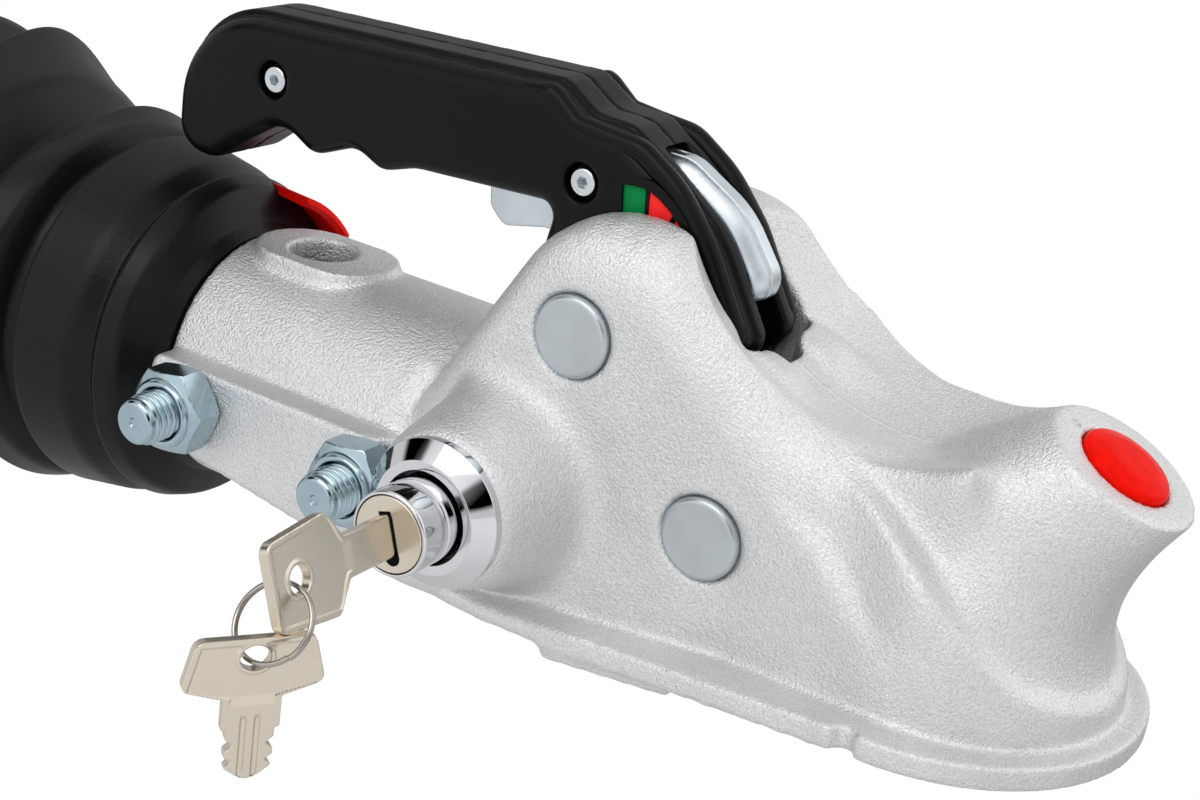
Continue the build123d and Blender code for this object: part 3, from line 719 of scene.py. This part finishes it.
def threadedBolt(bm, boltX):
    tip = roundedLine([
        (0, 0.7, 0), (0.9, 0.65, 0.2), (1.25, 0.1, 0.3), (4.6, 0.0, 1.0), (5.3, 0.7, 0.6), (5.5, 1.6, 0),
    ], 4)
    pitch, count = boltPiece["pitch"], 14
    length = boltHigh.y - boltLow.y
    threadEnd = 22.0
    thread = [1.6 + k * pitch / count for k in range(1, int((threadEnd - 1.6) / pitch * count))]
    shank = [threadEnd, length - 8.0]
    columns = boltPiece["columns"]

    def spot(i, j):
        angle = 2 * pi * j / columns
        if i < len(tip):
            radius, distance = tip[i]
        elif i < len(tip) + len(thread):
            distance = thread[i - len(tip)]
            phase = (distance / pitch + j / columns) % 1
            valley = 0.5 + 0.5 * cos(2 * pi * phase)
            radius = boltPiece["radius"] - boltPiece["depth"] * valley * rise(distance, 1.2, 3.0)
            radius -= 0.5 * (1 - rise(distance, 1.5, 2.6))
        else:
            distance = shank[i - len(tip) - len(thread)]
            radius = boltPiece["radius"]
        return acrossPoint(boltX, radius, angle, boltLow.y + distance)

    lattice(bm, len(tip) + len(thread) + len(shank), columns, spot)
    head = roundedLine([(0, 7.4, 0), (9.0, 7.4, 0.2), (11.2, 6.2, 0), (11.2, 0, 0), (0, 0, 0)], 3)
    return hexSkin(bm, boltX, head, boltPiece["lugFace"], 1)


def lockingNut(bm, boltX):
    line = roundedLine([
        (6.2, 0, 0), (9.0, 0, 0.1), (11.2, 1.25, 0), (11.2, 7.0, 0), (8.9, 8.3, 0.3), (8.35, 8.6, 0.3),
        (8.2, 9.3, 0.6), (7.6, 10.1, 0.7), (6.6, 10.1, 0.3), (6.35, 9.4, 0.2), (6.3, 7.0, 0),
    ], 5)
    return hexSkin(bm, boltX, line, -boltPiece["lugFace"], -1)


for name, maker, node, angle in (
    ("threadedBolts", threadedBolt, "cross_bolts", 50),
    ("lockingNuts", lockingNut, "cross_nuts", 28),
):
    bm = bmesh.new()
    for boltX in boltPlaces:
        maker(bm, boltX)
    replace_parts(newPiece(name, bm, "base", blueZinc, angle), node)
print("bolts and nuts made")


# keys and ring

spareTurn = radians(56.0)
ringLean = radians(38.0)
keyPieces = [
    {
        "name": "turnedKey", "node": "key_in_lock", "body": "plug",
        "foot": (-97.6, -66.9, 6.4), "along": (0, -1, 0), "face": (cos(keyTurn), 0, sin(keyTurn)),
        "bow": 10.8, "bowEnd": 9.1, "bowStart": 14.5, "shoulder": 4.4, "end": 36.5,
        "neck": 4.5, "blade": 3.8, "hole": 28.7, "groove": 0.0,
        "bowScale": 1.0, "bladeScale": 1.0, "lift": 0.0,
    },
    {
        "name": "hangingKey", "node": "spare_key", "body": "second_key",
        "foot": (-97.6, -106.128, -26.075), "along": (0, 0, 1),
        "face": (sin(spareTurn), -cos(spareTurn), 0),
        "bow": 14.3, "bowEnd": 11.7, "bowStart": 8.2, "shoulder": 2.9, "end": 22.6,
        "neck": 5.8, "blade": 4.8, "hole": 18.0, "groove": 0.5,
        "bowScale": 0.9, "bladeScale": 0.85, "lift": 1.8,
    },
]


def keyRelief(piece):
    # sunk field inside the bow's rim, and two grooves along the blade
    foot = Vector(piece["foot"]) * mm
    along, face = Vector(piece["along"]), Vector(piece["face"])
    over = face.cross(along)

    def halfWidth(u):
        widest = piece["bowStart"] + piece["shoulder"]
        if u < widest:
            t = rise(u, piece["bowStart"], widest)
            return piece["neck"] + t * (piece["bow"] - piece["neck"])
        t = (u - widest) / (piece["end"] - widest)
        return piece["bow"] + t * (piece["bowEnd"] - piece["bow"])

    def reshape(obj):
        for vert in obj.data.vertices:
            offset = vert.co - foot
            u, v, w = (offset.dot(axis) / mm for axis in (along, over, face))
            bowU = max(u, piece["bowStart"]) - piece["hole"]
            bladeU = min(u - piece["bowStart"], 0)
            newU = piece["hole"] + bowU * piece["bowScale"] + bladeU * piece["bladeScale"]
            vert.co += along * (newU - u + piece["lift"]) * mm
            if abs(w) < 0.9:
                continue
            inside = min(halfWidth(u) - abs(v), piece["end"] - u)
            fromHole = hypot(u - piece["hole"], v) - piece["holeRadius"]
            field = rise(inside, 1.2, 1.6) * rise(u, piece["bowStart"] - 2, piece["bowStart"] + 1)
            sink = piece["field"] * field * rise(fromHole, 0.7, 1.1)
            groove = max(rise(-abs(v - g * piece["blade"]), -0.75, -0.35) for g in (-0.28, 0.3))
            runOut = 1 - rise(u, 0.3 * piece["bowStart"], 0.5 * piece["bowStart"])
            sink = max(sink, piece["groove"] * groove * runOut)
            vert.co -= face * (sink * mm if w > 0 else -sink * mm)

    return reshape


for piece in keyPieces:
    piece.update({"slot": "key_nickel", "mat": keyNickel, "voxel": 0.2, "passes": 4, "faces": 110000})
    piece.update({"field": 0.3, "holeRadius": 3.0})
    softCopy(piece, keyRelief(piece))

ringPiece = {"radius": 8.3, "wire": 0.5, "turns": 2, "hang": 1.1, "points": 220, "sides": 14}


def splitRing():
    down = Vector((0, -sin(ringLean), -cos(ringLean)))
    normal = Vector((0, cos(ringLean), -sin(ringLean)))
    level = Vector((1, 0, 0))
    hole = Vector(keyPieces[0]["foot"]) + Vector(keyPieces[0]["along"]) * keyPieces[0]["hole"]
    centre = hole + down * (ringPiece["hang"] + ringPiece["radius"])
    last = ringPiece["points"] - 1

    def spot(i, j):
        t = min(max(i - 1, 0), last - 2) / (last - 2)
        turn = 2 * pi * ringPiece["turns"] * t + 0.6
        outward = level * cos(turn) + down * sin(turn)
        middle = centre + outward * ringPiece["radius"]
        middle = middle + normal * ringPiece["wire"] * 2.1 * (t * 2 - 1) * 0.5
        wire = 0 if i in (0, last) else ringPiece["wire"]
        angle = 2 * pi * j / ringPiece["sides"]
        return (middle + (outward * cos(angle) + normal * sin(angle)) * wire) * mm

    return lattice(bmesh.new(), ringPiece["points"], ringPiece["sides"], spot)


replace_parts(newPiece("splitRing", splitRing(), "ring", ringSteel, 60), "key_ring")
print("keys and ring made")


# bellows

bellowsPiece = {
    "corners": [
        (25.1, -194.0, 0), (30.5, -194.0, 1.2),
        (33.0, -196.5, 1.5), (41.0, -201.0, 4), (42.8, -205.8, 1.0), (40.6, -208.6, 0.8),
        (44.4, -214.0, 8), (46.8, -228.5, 0.9),
        (37.0, -235.0, 3), (48.0, -240.0, 5), (51.5, -248.5, 0.9),
        (40.0, -257.5, 3), (52.5, -266.0, 8), (57.0, -288.0, 2.5),
        (45.0, -301.5, 3), (60.5, -311.0, 4), (60.5, -317.0, 3),
        (28.1, -328.0, 4), (28.1, -336.0, 1), (25.1, -336.0, 0),
    ],
    "columns": 200,
    # where the skin is limp, as distances behind the ball, and its waves: height, count, length
    "limpStart": (232, 250),
    "limpEnd": (314, 324),
    "waves": [(0.9, 3, 9), (0.7, 5, -13)],
    "sway": 2.0,
    # places pushed out or in: x, angle from the top to the right side, height, width along, width round
    "peaks": [
        (-248, 12, -4.5, 9, 20), (-286, -22, 6.5, 12, 20),
        (-290, 60, -4.0, 16, 28), (-268, 70, 3.0, 10, 26),
    ],
}


def bellowsSkin():
    line = dense(roundedLine(bellowsPiece["corners"], 8), 0.9)
    columns = bellowsPiece["columns"]

    def spot(i, j):
        radius, x = line[i]
        angle = 2 * pi * j / columns
        limp = rise(-x, *bellowsPiece["limpStart"]) * (1 - rise(-x, *bellowsPiece["limpEnd"]))
        radius += limp * sum(high * sin(n * angle + x / far) for high, n, far in bellowsPiece["waves"])
        x += limp * bellowsPiece["sway"] * sin(2 * angle + 0.6)
        for place, round_, height, along, about in bellowsPiece["peaks"]:
            off = (angle - radians(round_) + pi) % (2 * pi) - pi
            radius += limp * height * exp(-((x - place) / along) ** 2 - (off / radians(about)) ** 2)
        return Vector((x, -radius * sin(angle), radius * cos(angle))) * mm

    return lattice(bmesh.new(), len(line), columns, spot)


bellows = newPiece("limpBellows", bellowsSkin(), "base", bellowsRubber)
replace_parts(bellows, "rubber_bellows")

# tongue on the far flank, as a bent strip: x and radius of its section, angles from the top
tonguePiece = {
    "section": [(-208, 40.2), (-192, 38.8), (-190.6, 39.8), (-191.2, 41.2), (-208, 42.2)],
    "angles": (-20, -52),
    "steps": 8,
}


def tongueSkin():
    layers = []
    start, end = tonguePiece["angles"]
    for k in range(tonguePiece["steps"] + 1):
        angle = radians(start + (end - start) * k / tonguePiece["steps"])
        layers.append([(x, -r * sin(angle), r * cos(angle)) for x, r in tonguePiece["section"]])
    return solidLoop(bmesh.new(), layers)


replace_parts(newPiece("redTongue", tongueSkin(), "base", capRed, 40), "bellows_red_tab")
print("bellows made")


# stage, light and camera

photoView = {
    "turn": 29.66, "rise": 21.68, "roll": 8.39,
    "place": (0.12332, -0.37649, 0.19292), "lens": 61.77,
}


def makeCamera():
    turn, climb, roll = (radians(photoView[k]) for k in ("turn", "rise", "roll"))
    back = Vector((sin(turn) * cos(climb), -cos(turn) * cos(climb), sin(climb)))
    level = Vector((cos(turn), sin(turn), 0))
    upright = back.cross(level)
    right = level * cos(roll) + upright * sin(roll)
    up = upright * cos(roll) - level * sin(roll)
    cam = bpy.data.cameras.new("photoCamera")
    cam.sensor_fit = "HORIZONTAL"
    cam.sensor_width = 36
    cam.lens = photoView["lens"]
    cam.clip_start = 0.01
    obj = bpy.data.objects.new("photoCamera", cam)
    bpy.context.scene.collection.objects.link(obj)
    facing = Matrix((right, up, back)).transposed().to_4x4()
    obj.matrix_world = Matrix.Translation(photoView["place"]) @ facing
    bpy.context.scene.camera = obj


keyLight = {"place": (-0.1, -0.7, 0.9), "aim": (-0.08, 0, 0.02), "size": (1.0, 0.4), "power": 2.8}


def softBox(name, place, aim, size, power):
    lamp = bpy.data.lights.new(name, "AREA")
    lamp.shape = "RECTANGLE"
    lamp.size, lamp.size_y = size
    lamp.energy = power
    obj = bpy.data.objects.new(name, lamp)
    bpy.context.scene.collection.objects.link(obj)
    obj.location = place
    obj.rotation_euler = (Vector(aim) - Vector(place)).to_track_quat("-Z", "Y").to_euler()


floorPiece = {"size": 6, "height": -0.22}


def makeFloor():
    bm = bmesh.new()
    bmesh.ops.create_grid(bm, x_segments=1, y_segments=1, size=floorPiece["size"])
    bmesh.ops.translate(bm, verts=bm.verts, vec=(0, 0, floorPiece["height"]))
    shape = bpy.data.meshes.new("paleFloor")
    bm.to_mesh(shape)
    bm.free()
    floor = bpy.data.objects.new("paleFloor", shape)
    bpy.context.scene.collection.objects.link(floor)
    paper = newMaterial("palePaper", (0.9, 0.9, 0.9), 0.0, 0.9)
    shape.materials.append(paper)
    # white to the camera; reflections see it darker to the back and a little brighter to the right
    tree = paper.node_tree
    rays = addNode(paper, "ShaderNodeLightPath")
    split = addNode(paper, "ShaderNodeSeparateXYZ")
    join(paper, place(paper), split.inputs[0])
    toBack = spread(paper, split.outputs["Y"], 0.85, 0.4, -0.25, 0.3)
    toRight = spread(paper, split.outputs["X"], 1.0, 1.15, 0.0, 0.5)
    faded = addNode(paper, "ShaderNodeMath", operation="MULTIPLY")
    join(paper, toBack, faded.inputs[0])
    join(paper, toRight, faded.inputs[1])
    level = addNode(paper, "ShaderNodeMix", data_type="FLOAT")
    level.inputs[3].default_value = 1.0
    join(paper, rays.outputs["Is Camera Ray"], level.inputs[0])
    join(paper, faded.outputs[0], level.inputs[2])
    seen = addNode(paper, "ShaderNodeMath", operation="MAXIMUM")
    join(paper, rays.outputs["Is Camera Ray"], seen.inputs[0])
    join(paper, rays.outputs["Is Glossy Ray"], seen.inputs[1])
    white = addNode(paper, "ShaderNodeEmission", Color=(1, 1, 1, 1))
    join(paper, level.outputs[0], white.inputs["Strength"])
    mix = addNode(paper, "ShaderNodeMixShader")
    join(paper, seen.outputs[0], mix.inputs[0])
    join(paper, tree.nodes["Principled BSDF"].outputs[0], mix.inputs[1])
    join(paper, white.outputs[0], mix.inputs[2])
    join(paper, mix.outputs[0], tree.nodes["Material Output"].inputs[0])


def makeWorld():
    # white for the camera, a room with brighter and darker walls for reflections
    roomLevel = 0.73
    # walls as direction, added light, cosine where they start and where they are full
    walls = [
        ((-0.2, -0.92, 0.3), 0.42, 0.6, 0.95),
        ((0.76, 0.28, 0.59), 0.5, 0.8, 0.97),
        ((0.0, 0.8, 0.6), 0.1, 0.6, 0.95),
        ((0.5, 0.76, 0.42), 0.5, 0.93, 0.985),
        ((-0.72, 0.6, 0.3), -0.42, 0.82, 0.96),
        ((0.58, -0.72, 0.37), -0.78, 0.95, 0.985),
        ((-0.82, -0.29, 0.49), -0.74, 0.95, 0.985),
    ]
    world = bpy.data.worlds.new("whiteRoom")
    bpy.context.scene.world = world
    world.use_nodes = True
    back = world.node_tree.nodes["Background"]
    back.inputs["Color"].default_value = (1, 1, 1, 1)
    rays = addNode(world, "ShaderNodeLightPath")
    toward = addNode(world, "ShaderNodeTexCoord").outputs["Generated"]
    room = None
    for direction, extra, start, full in walls:
        facing = addNode(world, "ShaderNodeVectorMath", operation="DOT_PRODUCT")
        join(world, toward, facing.inputs[0])
        facing.inputs[1].default_value = Vector(direction).normalized()
        wall = addNode(world, "ShaderNodeMapRange", interpolation_type="SMOOTHSTEP")
        wall.inputs["From Min"].default_value = start
        wall.inputs["From Max"].default_value = full
        wall.inputs["To Max"].default_value = extra
        join(world, facing.outputs["Value"], wall.inputs["Value"])
        total = addNode(world, "ShaderNodeMath", operation="ADD")
        join(world, wall.outputs[0], total.inputs[0])
        if room:
            join(world, room, total.inputs[1])
        else:
            total.inputs[1].default_value = roomLevel
        room = total.outputs[0]
    level = addNode(world, "ShaderNodeMix", data_type="FLOAT")
    level.inputs[3].default_value = 1.0
    join(world, rays.outputs["Is Camera Ray"], level.inputs[0])
    join(world, room, level.inputs[2])
    join(world, level.outputs[0], back.inputs["Strength"])


makeCamera()
makeFloor()
makeWorld()
softBox("keyBox", **keyLight)
bpy.context.scene.view_settings.view_transform = "Standard"

print("scene done")
